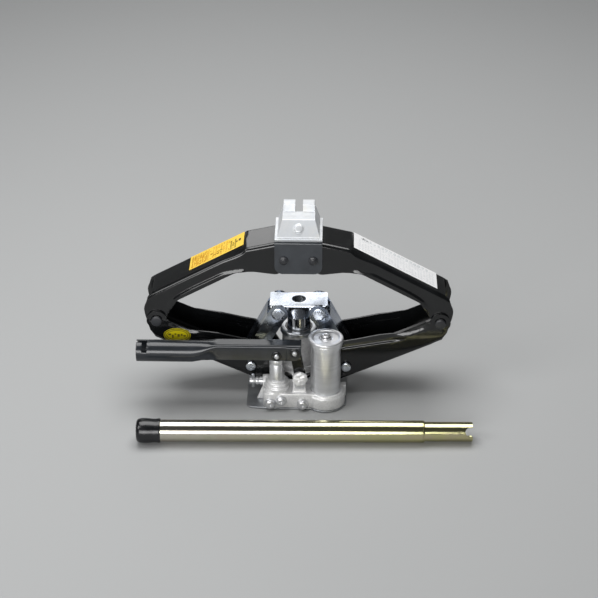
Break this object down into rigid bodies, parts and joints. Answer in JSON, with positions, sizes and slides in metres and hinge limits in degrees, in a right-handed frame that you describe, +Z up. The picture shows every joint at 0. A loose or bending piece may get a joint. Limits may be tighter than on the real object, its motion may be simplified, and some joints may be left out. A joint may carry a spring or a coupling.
{
  "type": "hydraulic scissor jack",
  "caption": "Hydraulic scissor jack: a hand pump lifts a ram whose crosshead and links spread two pairs of channel arms under a forked saddle; with a loose lever bar.",
  "frame": {"origin": "on the ground under the ram's axis, on the base plate's underside", "axes": "+X runs along the jack to the reservoir's side, -Y faces the pump and the loose bar, +Z is up and is the direction of lift"},
  "size_m": [0.4127, 0.1955, 0.245],
  "materials": {
    "black_paint": "gloss",
    "black_pin": "satin",
    "zinc_plate": "satin",
    "saddle_zinc": "bright",
    "cast_silver": "satin silver paint",
    "machined_steel": "satin",
    "tank_steel": "satin",
    "base_zinc": "dull",
    "ram_chrome": "polished",
    "seal_rubber": "matte",
    "cap_rubber": "matte",
    "yellow_zinc": "yellow passivated",
    "label_yellow": "satin",
    "label_white": "satin",
    "sticker_green": "satin"
  },
  "bodies": {
    "base": {"base_plate": "base_zinc", "base_casting": "cast_silver", "main_cylinder": "cast_silver", "cylinder_gland": "machined_steel", "gland_wiper": "seal_rubber", "base_pivot_pins": "machined_steel", "reservoir_tube": "tank_steel", "reservoir_cap": "tank_steel", "filler_plug": "machined_steel", "filler_seal": "seal_rubber", "pump_barrel": "tank_steel", "pump_gland": "machined_steel", "plunger_seal": "seal_rubber", "front_plugs": "machined_steel", "check_springs": "machined_steel", "check_balls": "machined_steel", "clevis_pin": "machined_steel", "valve_seal": "seal_rubber"},
    "release_valve": {"valve_screw": "machined_steel", "valve_cross_pin": "machined_steel"},
    "fulcrum_rocker": {"fulcrum_link": "black_paint"},
    "lever": {"pump_lever": "black_paint", "fulcrum_pin": "machined_steel", "plunger_pin": "machined_steel"},
    "plunger": {"pump_plunger": "machined_steel"},
    "ram_and_crosshead": {"ram": "ram_chrome", "piston_seal": "seal_rubber", "crosshead": "zinc_plate", "crosshead_bolts": "zinc_plate", "crosshead_nuts": "zinc_plate"},
    "left_link": {"link_left": "zinc_plate"},
    "right_link": {"link_right": "zinc_plate"},
    "left_lower_arm": {"lower_arm_left": "black_paint", "elbow_pin_left": "black_pin", "link_pin_left": "zinc_plate", "link_spacers_left": "machined_steel", "round_sticker": "sticker_green"},
    "right_lower_arm": {"lower_arm_right": "black_paint", "elbow_pin_right": "black_pin", "link_pin_right": "zinc_plate", "link_spacers_right": "machined_steel"},
    "left_upper_arm": {"upper_arm_left": "black_paint", "elbow_tube_left": "machined_steel", "warning_label": "label_yellow"},
    "right_upper_arm": {"upper_arm_right": "black_paint", "elbow_tube_right": "machined_steel", "instruction_label": "label_white"},
    "saddle": {"saddle_bracket": "black_paint", "saddle_pins": "black_pin", "saddle_base": "saddle_zinc", "saddle_head": "saddle_zinc", "saddle_rivet": "saddle_zinc"},
    "lever_bar": {"bar_tube": "yellow_zinc", "bar_end": "yellow_zinc", "bar_cap": "cap_rubber"}
  },
  "joints": [
    {"name": "left_lower_arm_hinge", "type": "hinge", "parent": "base", "child": "left_lower_arm", "pos_m": [-0.018, 0, 0.016], "axis": [0, 1, 0], "range_deg": [-17.1, 19.4]},
    {"name": "left_elbow", "type": "hinge", "parent": "left_lower_arm", "child": "left_upper_arm", "pos_m": [-0.17604, 0, 0.10217], "axis": [0, 1, 0], "range_deg": [-38.9, 34.3]},
    {"name": "left_saddle_pivot", "type": "hinge", "parent": "left_upper_arm", "child": "saddle", "pos_m": [-0.018, 0, 0.18833], "axis": [0, 1, 0], "range_deg": [-17.2, 19.5]},
    {"name": "right_saddle_pivot", "type": "hinge", "parent": "saddle", "child": "right_upper_arm", "pos_m": [0.018, 0, 0.18833], "axis": [0, 1, 0], "range_deg": [-17.2, 19.5]},
    {"name": "right_lower_arm_hinge", "type": "hinge", "parent": "base", "child": "right_lower_arm", "pos_m": [0.018, 0, 0.016], "axis": [0, 1, 0], "range_deg": [-19.5, 17.2]},
    {"name": "ram_slide", "type": "slide", "parent": "base", "child": "ram_and_crosshead", "axis": [0, 0, 1], "range_m": [-0.01554, 0.01762]},
    {"name": "left_link_hinge", "type": "hinge", "parent": "ram_and_crosshead", "child": "left_link", "pos_m": [-0.025, 0, 0.1072], "axis": [0, 1, 0], "range_deg": [-6.6, 5.83]},
    {"name": "right_link_hinge", "type": "hinge", "parent": "ram_and_crosshead", "child": "right_link", "pos_m": [0.025, 0, 0.1072], "axis": [0, 1, 0], "range_deg": [-5.83, 6.6]},
    {"name": "lever_hinge", "type": "hinge", "parent": "fulcrum_rocker", "child": "lever", "pos_m": [-0.0039, -0.0555, 0.0782], "axis": [0, 1, 0], "range_deg": [0, 35]},
    {"name": "fulcrum_link_hinge", "type": "hinge", "parent": "base", "child": "fulcrum_rocker", "pos_m": [0.0022, -0.0555, 0.0423], "axis": [0, 1, 0], "range_deg": [-0.87, 0.1]},
    {"name": "plunger_slide", "type": "slide", "parent": "base", "child": "plunger", "axis": [0, 0, 1], "range_m": [-0.0002, 0.01362]},
    {"name": "release_valve_turn", "type": "hinge", "parent": "base", "child": "release_valve", "pos_m": [-0.0565, -0.0435, 0.0245], "axis": [-1, 0, 0], "range_deg": [0, 270]},
    {"name": "lever_bar_lift", "type": "slide", "parent": "base", "child": "lever_bar", "axis": [0, 0, 1], "range_m": [0, 0.25]}
  ],
  "couplings": [
    {"joint": "left_elbow", "follows": "left_lower_arm_hinge", "ratio": -2},
    {"joint": "left_saddle_pivot", "follows": "left_lower_arm_hinge", "ratio": 1},
    {"joint": "right_saddle_pivot", "follows": "left_lower_arm_hinge", "ratio": 1},
    {"joint": "right_lower_arm_hinge", "follows": "left_lower_arm_hinge", "ratio": -1},
    {"joint": "ram_slide", "follows": "left_lower_arm_hinge", "m_per_rad": 0.051738},
    {"joint": "left_link_hinge", "follows": "left_lower_arm_hinge", "ratio": -0.335},
    {"joint": "right_link_hinge", "follows": "left_lower_arm_hinge", "ratio": 0.335},
    {"joint": "fulcrum_link_hinge", "follows": "lever_hinge", "ratio": -0.022},
    {"joint": "plunger_slide", "follows": "lever_hinge", "m_per_rad": 0.021973}
  ]
}
